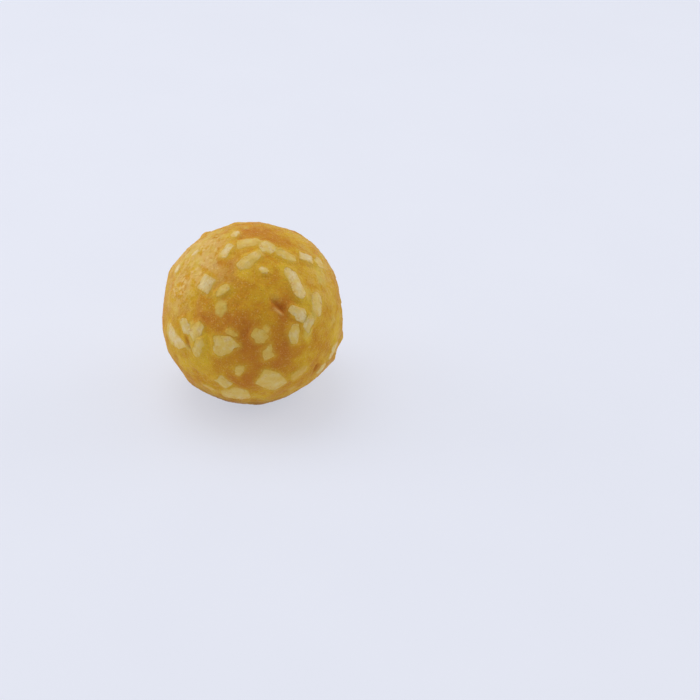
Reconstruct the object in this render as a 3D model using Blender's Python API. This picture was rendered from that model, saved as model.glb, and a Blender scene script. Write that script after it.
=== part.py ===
"""A mawa ladoo: one hand-rolled ball of cooked milk-solid sweet with chopped nuts pressed into it.

Metres, +Z up. The origin is on the table, under the middle of the ball. The nuts that are
placed one by one lie on the side that faces -Y and up; the rest follow a seeded scatter.
"""

import math
import random
from collections import namedtuple

import bmesh
import bpy
from mathutils import Vector, noise

MM = 0.001

# The ball
BALL_RADIUS = 22.5 * MM
SEAT_DEPTH = 1.1 * MM  # how far the soft underside has settled flat
CENTRE = Vector((0, 0, BALL_RADIUS - SEAT_DEPTH))
BALL_POINTS = 1900  # spread evenly, 1.9 mm apart
CREASE_STEP = 0.8 * MM  # spacing of the extra points along a crack
CREASE_ROWS = (-1.9, -1.1, -0.45, 0, 0.45, 1.1, 1.9)  # and across it, in half widths
CREASE_REACH = 2.0  # a crack is gone this many half widths from its line
CREASE_CLEAR = 2.6  # and nuts and evenly spread points keep this many away
CREASE_ENDS = 0.6  # share of its depth that a crack loses at its ends
CREASE_ROUND = 1.6  # shape of its sides: 2 is a round dent, 1 a sharp cut
GOLDEN_ANGLE = math.pi * (3 - math.sqrt(5))
SHARP_ANGLE = math.radians(35)  # edges sharper than this stay crisp
LUMPS = ((7.0 * MM, 0.26 * MM), (3.4 * MM, 0.13 * MM))  # size and height of the uneven surface

# The side that is described piece by piece, as an eye at this height and distance sees it
FACE_TILT = math.radians(33)
EYE_DISTANCE = 409 * MM
ACROSS = Vector((1, 0, 0))
UP = Vector((0, math.sin(FACE_TILT), math.cos(FACE_TILT)))
TOWARDS = Vector((0, -math.cos(FACE_TILT), math.sin(FACE_TILT)))

# Nuts
NUT_THICKNESS = 1.7 * MM
NUT_CHAMFER = 0.3 * MM
NUT_TAPER = 0.25  # share by which a nut's buried end is smaller
NUT_BEND = 0.6  # how far a nut's top follows the round of the ball: 0 flat, 1 all the way
NUT_LEAN = (0.09, 0.12)  # greatest slope of a nut's top, along and across it
CORNER_SHIFT = 0.06  # greatest move of a nut's corner, as a share of its half size
OUTLINE_SEED = 1000
LEAN_SEED = 2000
SCATTER_SEED = 41
SCATTER_COUNT = 48
SCATTER_SHORTEST = 2.0 * MM
SCATTER_LONGEST = 7.4 * MM
SCATTER_BIAS = 1.5  # above 1, most nuts are short
SCATTER_RISE = (0.2 * MM, 0.45 * MM)
SLIVER_WIDTHS = (0.38, 0.55)  # width as a share of the length
CHUNK_WIDTHS = (0.6, 0.85)
SCATTER_TRIES = 80  # places tried for each nut
SCATTER_GAP = 1.2 * MM  # least mass between two scattered nuts
NEIGHBOUR_SHARE = 0.75  # of a neighbour's half length that counts as filled, since most nuts are slim
LOWEST_NUT = math.radians(-52)  # keeps nuts off the flat seat
FACE_EDGE = -0.10  # the scatter starts behind the outline that the eye sees

# What the palms left on the outline that the eye sees: clock angle, height and half width in degrees
RIM = (
    (7, -1.05, 10),
    (20, -0.40, 5),
    (48, 0.28, 8),
    (60, 0.45, 5),
    (75, -0.25, 5),
    (100, 0.30, 5),
    (111, -0.40, 5),
    (121, 0.70, 4),
    (131, -1.00, 4),
    (152, 0.45, 5),
    (172, -0.75, 14),
    (193, -0.50, 5),
    (205, 0.35, 6),
    (231, 0.50, 12),
    (263, -0.25, 6),
    (283, -0.40, 8),
    (303, -0.65, 9),
    (331, 0.75, 5),
    (344, 0.80, 5),
    (356, -1.00, 4),
)

# Cracks that opened while the ball was rolled, on the face: both ends, half width and depth in mm
Crease = namedtuple("Crease", "start end half_width depth")
FACE_CREASES = (
    Crease((4.9, 3.4), (8.7, 0.1), 0.75, 1.15),
    Crease((-16.5, -5.5), (-14.5, -9.5), 0.30, 0.7),
    Crease((16.1, -12.6), (15.0, -14.7), 0.38, 0.9),
)
HOLLOW = ((-1.2, -5.0), 2.0, 0.35)  # a shallow thumb dent: place on the face, half width, depth
# The same on the far side: longitude, latitude, length, turn, half width, depth
FAR_CREASES = (
    (104, -4, 6.0, 35, 0.65, 1.2),
    (131, 38, 4.5, -60, 0.50, 0.9),
    (176, 12, 5.5, 12, 0.70, 1.2),
    (236, 24, 5.0, 70, 0.60, 1.1),
)

# The cut face of a chopped nut: corners as shares of its half length and half width
SLIVER = ((1.0, 0.15), (0.72, 0.95), (-0.70, 0.85), (-1.0, -0.10), (-0.80, -0.90), (0.60, -0.85))
WEDGE = ((1.0, 0.35), (0.35, 1.0), (-0.92, 0.48), (-1.0, -0.42), (0.10, -0.88), (0.88, -0.72))
CHUNK = ((0.98, 0.30), (0.30, 1.0), (-0.75, 0.80), (-1.0, -0.30), (-0.15, -1.0), (0.80, -0.70))
BLOCK = ((0.95, 0.75), (-0.80, 0.92), (-0.95, -0.80), (0.85, -0.90))
KITE = ((1.0, 0.10), (0.05, 0.95), (-1.0, 0.05), (-0.20, -0.92))
PEAK = ((0.95, -0.10), (0.30, 0.85), (-0.78, 1.12), (-1.05, -0.35), (0.45, -1.10))
FIN = ((1.0, -0.45), (0.60, 0.50), (-0.52, 1.05), (-0.96, -0.10), (-0.78, -0.85), (0.10, -0.80))
SAIL = ((1.0, 0.2), (0.2, 0.95), (-0.9, 0.3), (-0.8, -0.8))

# Nuts on the face, in mm: across and up from the middle, length, width, turn in degrees,
# how far the top stands above the mass, and the outline
Nut = namedtuple("Nut", "across up length width turn rise outline")
FACE_NUTS = (
    Nut(4.9, -16.7, 8.3, 7.4, -4, 0.42, PEAK),
    Nut(-6.8, -7.8, 7.3, 5.9, 18, 0.38, FIN),
    Nut(1.8, -5.6, 4.6, 3.8, -18, 0.35, CHUNK),
    Nut(3.8, -9.5, 4.6, 4.2, 66, 0.32, KITE),
    Nut(-3.2, -14.1, 3.5, 2.7, 70, 0.30, WEDGE),
    Nut(-7.2, -16.8, 4.5, 3.4, -36, 0.30, BLOCK),
    Nut(-4.1, -19.7, 7.5, 5.8, 3, 0.35, WEDGE),
    Nut(11.2, -0.1, 5.8, 3.7, -32, 0.45, WEDGE),
    Nut(13.7, -2.6, 4.2, 3.4, 62, 0.40, BLOCK),
    Nut(10.2, -5.0, 5.3, 3.8, 92, 0.35, WEDGE),
    Nut(10.4, 7.6, 8.9, 3.9, 113, 0.45, SLIVER),
    Nut(15.8, 2.3, 6.3, 3.9, 88, 0.30, SLIVER),
    Nut(-0.9, 12.8, 6.8, 3.8, 216, 0.42, WEDGE),
    Nut(2.8, 10.5, 2.7, 2.0, -25, 0.40, CHUNK),
    Nut(-6.3, 15.3, 5.3, 2.7, 60, 0.45, BLOCK),
    Nut(-11.2, 7.1, 4.7, 4.4, 62, 0.50, BLOCK),
    Nut(-7.3, 5.6, 4.2, 2.6, 38, 0.35, WEDGE),
    Nut(-5.0, -4.8, 3.4, 1.6, -30, 0.30, SLIVER),
    Nut(-18.6, -5.7, 7.6, 9.0, 106, 0.45, SAIL),
    Nut(-16.3, -3.1, 4.6, 3.2, 105, 0.35, SLIVER),
    Nut(-13.6, -4.3, 5.9, 3.5, 62, 0.40, CHUNK),
    Nut(-13.1, -8.3, 6.4, 3.0, 64, 0.40, SLIVER),
    Nut(-1.0, 17.3, 6.6, 3.2, 7, 0.30, SLIVER),
    Nut(3.7, 16.0, 4.6, 4.0, -28, 0.32, CHUNK),
    Nut(8.2, 14.1, 5.8, 3.1, -28, 0.30, SLIVER),
    Nut(13.1, 13.7, 4.5, 3.5, -20, 0.45, BLOCK),
    Nut(16.3, 12.5, 4.5, 4.0, 60, 0.35, CHUNK),
    Nut(-4.2, 19.4, 3.4, 2.6, 88, 0.35, CHUNK),
    Nut(-14.0, 14.7, 2.8, 2.4, 45, 0.12, CHUNK),
    Nut(-18.2, 10.9, 3.0, 2.6, 70, 0.30, CHUNK),
    Nut(11.5, -14.6, 5.4, 2.5, 36, 0.22, SLIVER),
    Nut(19.7, -9.1, 5.2, 3.8, 66, 0.30, WEDGE),
    Nut(16.9, -13.5, 4.0, 3.0, 60, 0.35, SLIVER),
    Nut(-10.8, -18.1, 3.6, 1.9, -24, 0.28, SLIVER),
)

# A nut where it lies: outward and lengthwise directions, half length, half width, rise, outline
PlacedNut = namedtuple("PlacedNut", "outward along half_length half_width rise outline")


def face_direction(across, up):
    """The direction from the ball's centre to what the eye sees at (across, up) mm from its middle."""
    eye = TOWARDS * EYE_DISTANCE
    ray = (ACROSS * across * MM + UP * up * MM - eye).normalized()
    nearest = -eye.dot(ray)
    chord = BALL_RADIUS**2 - (eye + ray * nearest).length_squared
    return (eye + ray * (nearest - math.sqrt(max(chord, 0)))).normalized()


def rim_direction(clock):
    """The direction from the centre to the outline at a clock angle, counter-clockwise from the right."""
    angle = math.radians(clock)
    return ACROSS * math.cos(angle) + UP * math.sin(angle)


def globe_direction(longitude, latitude):
    """Longitude 0 faces -Y and grows towards +X. Both are in radians."""
    level = math.cos(latitude)
    return Vector((math.sin(longitude) * level, -math.cos(longitude) * level, math.sin(latitude)))


def tangent(outward, seen_along, towards):
    """The direction along the surface that looks like seen_along to someone looking against towards."""
    slide = seen_along.dot(outward) / max(towards.dot(outward), 0.2)
    return (seen_along - towards * slide).normalized()


def crease_ends():
    """Every crease as two directions from the centre, its half width and its depth."""
    for crease in FACE_CREASES:
        start, end = face_direction(*crease.start), face_direction(*crease.end)
        yield start, end, crease.half_width * MM, crease.depth * MM
    for longitude, latitude, length, turn, half_width, depth in FAR_CREASES:
        middle = globe_direction(math.radians(longitude), math.radians(latitude))
        east = Vector((0, 0, 1)).cross(middle).normalized()
        north = middle.cross(east)
        along = east * math.cos(math.radians(turn)) + north * math.sin(math.radians(turn))
        reach = along * (length * MM / 2 / BALL_RADIUS)
        yield (middle - reach).normalized(), (middle + reach).normalized(), half_width * MM, depth * MM


CREASES = tuple(crease_ends())


def crease_offset(direction, start, end):
    """How far a direction lies from a crease's line on the ball, and its share of the way along it."""
    line = end - start
    share = (direction - start).dot(line) / line.length_squared
    nearest = start + line * min(max(share, 0), 1)
    return (direction - nearest).length * BALL_RADIUS, share


def crease_depth(direction):
    """Depth of the cracks here: deepest halfway along, and sharp at the bottom."""
    depth = 0.0
    for start, end, half_width, deepest in CREASES:
        offset, share = crease_offset(direction, start, end)
        if offset < CREASE_REACH * half_width:
            along = 1 - CREASE_ENDS * abs(2 * min(max(share, 0), 1) - 1) ** 2
            depth = max(depth, deepest * along * math.exp(-((offset / half_width) ** CREASE_ROUND)))
    return depth


def hump(direction, middle, half_width):
    """A round bump of height 1 that fades over half_width, an angle in radians."""
    angle = direction.angle(middle, 0)
    return math.exp(-((angle / half_width) ** 2))


def ball_radius(direction):
    """Distance from the centre to the surface of the mass, in any direction."""
    radius = BALL_RADIUS
    for clock, height, half_width in RIM:
        radius += height * MM * hump(direction, rim_direction(clock), math.radians(half_width))
    for size, height in LUMPS:
        radius += height * noise.noise(direction * (BALL_RADIUS / size))
    place, half_width, depth = HOLLOW
    radius -= depth * MM * hump(direction, face_direction(*place), half_width * MM / BALL_RADIUS)
    return radius - crease_depth(direction)


def near_crease(direction):
    return any(crease_offset(direction, a, b)[0] < CREASE_CLEAR * width for a, b, width, _ in CREASES)


def face_nuts():
    """The nuts that are placed one by one."""
    nuts = []
    for nut in FACE_NUTS:
        outward = face_direction(nut.across, nut.up)
        turn = math.radians(nut.turn)
        along = tangent(outward, ACROSS * math.cos(turn) + UP * math.sin(turn), TOWARDS)
        half_length, half_width = nut.length * MM / 2, nut.width * MM / 2
        nuts.append(PlacedNut(outward, along, half_length, half_width, nut.rise * MM, nut.outline))
    return nuts


def scattered_nuts(placed):
    """Nuts over the rest of the ball, largest first, about as many to the area as on the face."""
    draw = random.Random(SCATTER_SEED)
    spread = SCATTER_LONGEST - SCATTER_SHORTEST
    shares = sorted((draw.random() ** SCATTER_BIAS for _ in range(SCATTER_COUNT)), reverse=True)
    nuts = []
    for share in shares:
        half_length = (SCATTER_SHORTEST + spread * share) / 2
        outward = free_spot(draw, half_length, placed + nuts)
        outline = draw.choice((SLIVER, SLIVER, WEDGE, CHUNK, CHUNK, BLOCK, KITE))
        half_width = half_length * draw.uniform(*(SLIVER_WIDTHS if outline is SLIVER else CHUNK_WIDTHS))
        turn = draw.uniform(0, 2 * math.pi)
        rise = draw.uniform(*SCATTER_RISE)
        if outward is not None:
            east = Vector((0, 0, 1)).cross(outward).normalized()
            along = east * math.cos(turn) + outward.cross(east) * math.sin(turn)
            nuts.append(PlacedNut(outward, along, half_length, half_width, rise, outline))
    return nuts


def free_spot(draw, half_length, others):
    """A direction outside the face and the seat with room for a nut, or None after many tries."""
    for _ in range(SCATTER_TRIES):
        outward = globe_direction(draw.uniform(0, 2 * math.pi), math.asin(draw.uniform(-1, 1)))
        if outward.z < math.sin(LOWEST_NUT) or outward.dot(TOWARDS) > FACE_EDGE or near_crease(outward):
            continue
        if not any(too_close(outward, half_length, other) for other in others):
            return outward
    return None


def too_close(outward, half_length, other):
    room = half_length + NEIGHBOUR_SHARE * other.half_length + SCATTER_GAP
    return (outward - other.outward).length * BALL_RADIUS < room


def nut_outline(nut, index):
    """The corners of a nut's cut face in metres, each moved a little so that no two nuts are alike."""
    draw = random.Random(OUTLINE_SEED + index)
    corners = []
    for x, y in nut.outline:
        x += draw.uniform(-CORNER_SHIFT, CORNER_SHIFT)
        y += draw.uniform(-CORNER_SHIFT, CORNER_SHIFT)
        corners.append((x * nut.half_length, y * nut.half_width))
    return corners


def nut_tilt(index):
    """How a nut leans, as slopes along and across it."""
    draw = random.Random(LEAN_SEED + index)
    along, across = NUT_LEAN
    return draw.uniform(-along, along), draw.uniform(-across, across)


def make_nut(nut, index, collection):
    """One chopped nut: a slab with a chamfered top face, most of it buried in the mass."""
    across = nut.outward.cross(nut.along)
    outline = nut_outline(nut, index)
    lean_along, lean_across = nut_tilt(index)
    top = ball_radius(nut.outward) + nut.rise
    chamfer = 1 - NUT_CHAMFER / nut.half_width
    rings = ((-NUT_THICKNESS, 1 - NUT_TAPER), (-NUT_CHAMFER, 1.0), (0.0, chamfer))
    bm = bmesh.new()
    loops = []
    for height, scale in rings:
        loop = []
        for x, y in outline:
            x, y = x * scale, y * scale
            bend = NUT_BEND * (x * x + y * y) / (2 * BALL_RADIUS)
            lift = top + height - bend + lean_along * x + lean_across * y
            loop.append(bm.verts.new(CENTRE + nut.outward * lift + nut.along * x + across * y))
        loops.append(loop)
    count = len(outline)
    for lower, upper in zip(loops, loops[1:]):
        for k in range(count):
            bm.faces.new((lower[k], lower[(k + 1) % count], upper[(k + 1) % count], upper[k]))
    bm.faces.new(loops[-1])
    bm.faces.new(reversed(loops[0]))
    bmesh.ops.triangulate(bm, faces=bm.faces)
    mesh = bpy.data.meshes.new(f"nut_{index}")
    bm.to_mesh(mesh)
    bm.free()
    nut_object = bpy.data.objects.new(f"nut_{index}", mesh)
    nut_object.hide_render = True
    nut_object.display_type = "WIRE"
    collection.objects.link(nut_object)


def surface_directions():
    """Where the mass has its points: evenly over the ball, and in rows along each crack."""
    directions = []
    for k in range(BALL_POINTS):
        z = 1 - (2 * k + 1) / BALL_POINTS
        level = math.sqrt(1 - z * z)
        angle = k * GOLDEN_ANGLE
        direction = Vector((level * math.cos(angle), level * math.sin(angle), z))
        if not near_crease(direction):
            directions.append(direction)
    for start, end, half_width, _ in CREASES:
        line = end - start
        aside = (start + end).cross(line).normalized() * (half_width / BALL_RADIUS)
        steps = math.ceil(line.length * BALL_RADIUS / CREASE_STEP)
        for row in CREASE_ROWS:
            directions.extend((start + line * k / steps + aside * row).normalized() for k in range(steps + 1))
    return directions


def make_mass():
    """The ball itself: lumps, cracks and dents, with a flat seat cut at the table."""
    bm = bmesh.new()
    for direction in surface_directions():
        bm.verts.new(direction)
    hull = bmesh.ops.convex_hull(bm, input=bm.verts)
    bmesh.ops.delete(bm, geom=hull["geom_interior"], context="VERTS")
    for vertex in bm.verts:
        direction = vertex.co.normalized()
        vertex.co = CENTRE + direction * ball_radius(direction)
    whole = bm.verts[:] + bm.edges[:] + bm.faces[:]
    cut = bmesh.ops.bisect_plane(bm, geom=whole, plane_co=(0, 0, 0), plane_no=(0, 0, 1), clear_inner=True)
    rim = [item for item in cut["geom_cut"] if isinstance(item, bmesh.types.BMEdge)]
    bmesh.ops.holes_fill(bm, edges=rim)
    bmesh.ops.recalc_face_normals(bm, faces=bm.faces)
    mesh = bpy.data.meshes.new("ladoo")
    bm.to_mesh(mesh)
    bm.free()
    ladoo = bpy.data.objects.new("ladoo", mesh)
    bpy.context.scene.collection.objects.link(ladoo)
    return ladoo


def fuse_nuts(ladoo, nuts):
    """Joins the nuts to the ball with one Boolean union and removes the loose ones."""
    collection = bpy.data.collections.new("nuts")
    bpy.context.scene.collection.children.link(collection)
    for index, nut in enumerate(nuts):
        make_nut(nut, index, collection)
    union = ladoo.modifiers.new("nuts", "BOOLEAN")
    union.operation = "UNION"
    union.operand_type = "COLLECTION"
    union.collection = collection
    union.solver = "MANIFOLD"
    bpy.context.view_layer.objects.active = ladoo
    bpy.ops.object.modifier_apply(modifier=union.name)
    for nut_object in list(collection.objects):
        bpy.data.objects.remove(nut_object)
    bpy.data.collections.remove(collection)


def mawa_material():
    """Golden saffron-coloured mass with a moist surface."""
    material = bpy.data.materials.new("mawa")
    material.use_nodes = True
    shader = material.node_tree.nodes["Principled BSDF"]
    shader.inputs["Base Color"].default_value = (0.60, 0.31, 0.055, 1)
    shader.inputs["Roughness"].default_value = 0.45
    shader.inputs["Metallic"].default_value = 0
    return material


def main():
    for old in list(bpy.data.objects):
        bpy.data.objects.remove(old)
    ladoo = make_mass()
    placed = face_nuts()
    fuse_nuts(ladoo, placed + scattered_nuts(placed))
    ladoo.data.materials.clear()
    ladoo.data.materials.append(mawa_material())
    ladoo.data.set_sharp_from_angle(angle=SHARP_ANGLE)


main()
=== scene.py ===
"""The mawa ladoo as it looks: a moist golden ball of mawa with chopped nuts, alone on a pale floor.

Metres, +Z up, in the solid's own frame. The mass and the nuts replace the solid and keep its form:
the sizes, rules and seeds in the first section are the solid's own.
"""

import math
import random
from collections import namedtuple

import bpy
import numpy as np
from mathutils import Matrix, Vector, noise


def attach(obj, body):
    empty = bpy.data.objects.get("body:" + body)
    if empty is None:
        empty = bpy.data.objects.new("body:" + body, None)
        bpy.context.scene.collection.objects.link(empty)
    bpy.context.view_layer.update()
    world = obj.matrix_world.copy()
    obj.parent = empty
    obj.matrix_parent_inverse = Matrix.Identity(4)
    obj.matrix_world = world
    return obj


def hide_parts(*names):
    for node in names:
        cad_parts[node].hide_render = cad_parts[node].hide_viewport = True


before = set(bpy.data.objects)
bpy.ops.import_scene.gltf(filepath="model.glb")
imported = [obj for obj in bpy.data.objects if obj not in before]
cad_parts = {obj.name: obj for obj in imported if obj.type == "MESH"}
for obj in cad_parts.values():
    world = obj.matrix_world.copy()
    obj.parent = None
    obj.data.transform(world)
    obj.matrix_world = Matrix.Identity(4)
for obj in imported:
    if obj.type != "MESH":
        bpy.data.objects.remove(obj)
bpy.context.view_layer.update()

MM = 0.001

# ---- the solid's own sizes and rules

# The ball
BALL_RADIUS = 22.5 * MM
SEAT_DEPTH = 1.1 * MM  # how far the soft underside has settled flat
CENTRE = Vector((0, 0, BALL_RADIUS - SEAT_DEPTH))
LUMPS = ((7.0 * MM, 0.26 * MM), (3.4 * MM, 0.13 * MM))  # size and height of the uneven surface
CREASE_CLEAR = 2.6  # nuts keep this many half widths away from a crack's line
CREASE_ENDS = 0.6  # share of its depth that a crack loses at its ends
CREASE_ROUND = 1.6  # shape of its sides: 2 is a round dent, 1 a sharp cut

# The side that is described piece by piece, as the camera sees it
FACE_TILT = math.radians(33)
EYE_DISTANCE = 409 * MM
ACROSS = Vector((1, 0, 0))
UP = Vector((0, math.sin(FACE_TILT), math.cos(FACE_TILT)))
TOWARDS = Vector((0, -math.cos(FACE_TILT), math.sin(FACE_TILT)))
LEAST_FACING = 0.2  # keeps a nut's turn steady near the outline

# Nuts
NUT_THICKNESS = 1.7 * MM
NUT_TAPER = 0.25  # share by which a nut's buried end is smaller
NUT_BEND = 0.6  # how far its top follows the ball: 0 flat, 1 all the way
NUT_LEAN = (0.09, 0.12)  # greatest slope of a nut's top, along and across it
CORNER_SHIFT = 0.06  # greatest move of a nut's corner, as a share of its half size
OUTLINE_SEED = 1000
LEAN_SEED = 2000
SCATTER_SEED = 41
SCATTER_COUNT = 48
SCATTER_SHORTEST = 2.0 * MM
SCATTER_LONGEST = 7.4 * MM
SCATTER_BIAS = 1.5  # above 1, most nuts are short
SCATTER_RISE = (0.2 * MM, 0.45 * MM)
SLIVER_WIDTHS = (0.38, 0.55)  # width as a share of the length
CHUNK_WIDTHS = (0.6, 0.85)
SCATTER_TRIES = 80  # places tried for each nut
SCATTER_GAP = 1.2 * MM  # least mass between two scattered nuts
NEIGHBOUR_SHARE = 0.75  # of a neighbour's half length that counts as filled
LOWEST_NUT = math.radians(-52)  # keeps nuts off the flat seat
FACE_EDGE = -0.10  # the scatter starts behind the outline that the eye sees

# What the palms left on the outline: clock angle, height in mm, half width in degrees
RIM = (
    (7, -1.05, 10), (20, -0.4, 5), (48, 0.28, 8), (60, 0.45, 5), (75, -0.25, 5),
    (100, 0.3, 5), (111, -0.4, 5), (121, 0.7, 4), (131, -1.0, 4), (152, 0.45, 5),
    (172, -0.75, 14), (193, -0.5, 5), (205, 0.35, 6), (231, 0.5, 12), (263, -0.25, 6),
    (283, -0.4, 8), (303, -0.65, 9), (331, 0.75, 5), (344, 0.8, 5), (356, -1.0, 4),
)

# Cracks that opened while the ball was rolled, on the face: both ends, half width and depth in mm
FACE_CREASES = (
    ((4.9, 3.4), (8.7, 0.1), 0.75, 1.15),
    ((-16.5, -5.5), (-14.5, -9.5), 0.3, 0.7),
    ((16.1, -12.6), (15.0, -14.7), 0.38, 0.9),
)
HOLLOW = ((-1.2, -5.0), 2.0, 0.35)  # a shallow thumb dent: place on the face, half width, depth
# The same on the far side: longitude, latitude, length, turn, half width, depth
FAR_CREASES = (
    (104, -4, 6.0, 35, 0.65, 1.2),
    (131, 38, 4.5, -60, 0.5, 0.9),
    (176, 12, 5.5, 12, 0.7, 1.2),
    (236, 24, 5.0, 70, 0.6, 1.1),
)

# The cut face of a chopped nut: corners as shares of its half length and half width
SLIVER = ((1.0, 0.15), (0.72, 0.95), (-0.7, 0.85), (-1.0, -0.1), (-0.8, -0.9), (0.6, -0.85))
WEDGE = ((1.0, 0.35), (0.35, 1.0), (-0.92, 0.48), (-1.0, -0.42), (0.1, -0.88), (0.88, -0.72))
CHUNK = ((0.98, 0.3), (0.3, 1.0), (-0.75, 0.8), (-1.0, -0.3), (-0.15, -1.0), (0.8, -0.7))
BLOCK = ((0.95, 0.75), (-0.8, 0.92), (-0.95, -0.8), (0.85, -0.9))
KITE = ((1.0, 0.1), (0.05, 0.95), (-1.0, 0.05), (-0.2, -0.92))
PEAK = ((0.95, -0.1), (0.3, 0.85), (-0.78, 1.12), (-1.05, -0.35), (0.45, -1.1))
FIN = ((1.0, -0.45), (0.6, 0.5), (-0.52, 1.05), (-0.96, -0.1), (-0.78, -0.85), (0.1, -0.8))
SAIL = ((1.0, 0.2), (0.2, 0.95), (-0.9, 0.3), (-0.8, -0.8))

# Nuts on the face, in mm: across and up from the middle, length, width, turn in degrees,
# how far the top stands above the mass, and the outline
FACE_NUTS = (
    (4.9, -16.7, 8.3, 7.4, -4, 0.42, PEAK), (-6.8, -7.8, 7.3, 5.9, 18, 0.38, FIN),
    (1.8, -5.6, 4.6, 3.8, -18, 0.35, CHUNK), (3.8, -9.5, 4.6, 4.2, 66, 0.32, KITE),
    (-3.2, -14.1, 3.5, 2.7, 70, 0.3, WEDGE), (-7.2, -16.8, 4.5, 3.4, -36, 0.3, BLOCK),
    (-4.1, -19.7, 7.5, 5.8, 3, 0.35, WEDGE), (11.2, -0.1, 5.8, 3.7, -32, 0.45, WEDGE),
    (13.7, -2.6, 4.2, 3.4, 62, 0.4, BLOCK), (10.2, -5.0, 5.3, 3.8, 92, 0.35, WEDGE),
    (10.4, 7.6, 8.9, 3.9, 113, 0.45, SLIVER), (15.8, 2.3, 6.3, 3.9, 88, 0.3, SLIVER),
    (-0.9, 12.8, 6.8, 3.8, 216, 0.42, WEDGE), (2.8, 10.5, 2.7, 2.0, -25, 0.4, CHUNK),
    (-6.3, 15.3, 5.3, 2.7, 60, 0.45, BLOCK), (-11.2, 7.1, 4.7, 4.4, 62, 0.5, BLOCK),
    (-7.3, 5.6, 4.2, 2.6, 38, 0.35, WEDGE), (-5.0, -4.8, 3.4, 1.6, -30, 0.3, SLIVER),
    (-18.6, -5.7, 7.6, 9.0, 106, 0.45, SAIL), (-16.3, -3.1, 4.6, 3.2, 105, 0.35, SLIVER),
    (-13.6, -4.3, 5.9, 3.5, 62, 0.4, CHUNK), (-13.1, -8.3, 6.4, 3.0, 64, 0.4, SLIVER),
    (-1.0, 17.3, 6.6, 3.2, 7, 0.3, SLIVER), (3.7, 16.0, 4.6, 4.0, -28, 0.32, CHUNK),
    (8.2, 14.1, 5.8, 3.1, -28, 0.3, SLIVER), (13.1, 13.7, 4.5, 3.5, -20, 0.45, BLOCK),
    (16.3, 12.5, 4.5, 4.0, 60, 0.35, CHUNK), (-4.2, 19.4, 3.4, 2.6, 88, 0.35, CHUNK),
    (-14.0, 14.7, 2.8, 2.4, 45, 0.12, CHUNK), (-18.2, 10.9, 3.0, 2.6, 70, 0.3, CHUNK),
    (11.5, -14.6, 5.4, 2.5, 36, 0.22, SLIVER), (19.7, -9.1, 5.2, 3.8, 66, 0.3, WEDGE),
    (16.9, -13.5, 4.0, 3.0, 60, 0.35, SLIVER), (-10.8, -18.1, 3.6, 1.9, -24, 0.28, SLIVER),
)

# A nut where it lies: its outward and lengthwise directions, and its sizes in metres
PlacedNut = namedtuple("PlacedNut", "outward along half_length half_width rise outline")

# ---- what only the looks need

MASS_GRID = 127  # squares along each edge of the cube that is blown up to the ball

# A nut's mesh: rings of points round its middle
NUT_SECTORS = 64  # points round a nut
NUT_TOP_RINGS = (0.22, 0.42, 0.6, 0.76, 0.88)  # share of the way to the worn edge
NUT_EDGE_STEPS = 5
NUT_SIDE_RINGS = (0.5, 1.0)  # share of the way down to the buried end
NUT_EDGE = 0.26 * MM  # radius of a nut's worn edge
NUT_EDGE_MOST = 0.4  # and at most this share of its half width
EDGE_START = 0.8  # value of the "edge" attribute where the worn edge starts, 1 where it ends

# Its chipped outline, and the relief of its cut face
CORNER_WEAR = (0.25, 0.5, 0.25)  # weights that round the corners off, over three sectors
CHIPS = ((3.7, 0, 2.2, 0.03), (1.9, 50, 5.0, 0.03))  # seed's step and start, bumps, share of the reach
FACET_RIDGE = (-0.1, 0.35)  # where the sloping facet starts, in half widths from the middle
FACET_SLOPE = (0.0, 0.2)
FACET_SKEW = 0.25  # how far its ridge runs askew
TOP_DOME = 0.10 * MM
KNIFE_MARKS = (1.6, 1.1, 5.3)  # length and width in mm, and the seed's step
KNIFE_DEPTH = 0.22 * MM
FINE_MARKS = (0.5, 0.4, 2.1)
FINE_HEIGHT = 0.03 * MM

# How the mass holds a nut
NUT_NEAR = 3 * MM  # how far round a nut the mass is fitted to it
NUT_CORNER = 1.25  # farthest corner of a nut, in half lengths
NUT_COLLAR = 0.55 * MM  # how far from a nut the mass climbs
CLIMB_USUAL = 0.8  # share of a nut's side that it climbs
CLIMB_CHANGE = 0.5  # how much that changes round the nut
CLIMB_RANGE = (0.5, 1.0)
LAP_THICKNESS = 0.07 * MM  # of the mass where it laps over a nut's edge
LAP_WIDTH = 0.45 * MM
LAP_MOST = 0.22  # and at most this share of the nut's half width
LAP_BUMPS = 0.9  # how often it does so round a nut
LAP_SEED = (7.1, 3)  # step and start
LAP_FROM = (-0.1, 0.5)  # noise at which a lap starts and is full
DIVE_WIDTH = 0.35 * MM  # over which the mass goes down beside a nut's edge
FLUSH = 0.08 * MM  # a nut's top this far under the mass stays covered
MASS_UNDER_NUT = 0.22 * MM  # how far the mass stays below a nut's top
HALO_REACH = 1.1 * MM  # how far the mass round a nut is yellower
BRIM_REACH = 0.5 * MM  # and how far it is stained with the nut's own colour

# The fold of mass beside the main cleft
LIP_OFFSET = 1.2 * MM  # from the middle of the cleft
LIP_HEIGHT = 0.22 * MM
LIP_HALF_WIDTH = 0.35 * MM
LIP_START = (0.2, 0.45)  # share of the way along the cleft where the fold rises
LIP_END = (0.7, 0.95)  # and where it sinks again
# A low knob of mass past its upper end: place, half width in mm, share of the fold's height
LIP_KNOB = ((5.9, 3.8), 0.9, 0.3)

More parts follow.
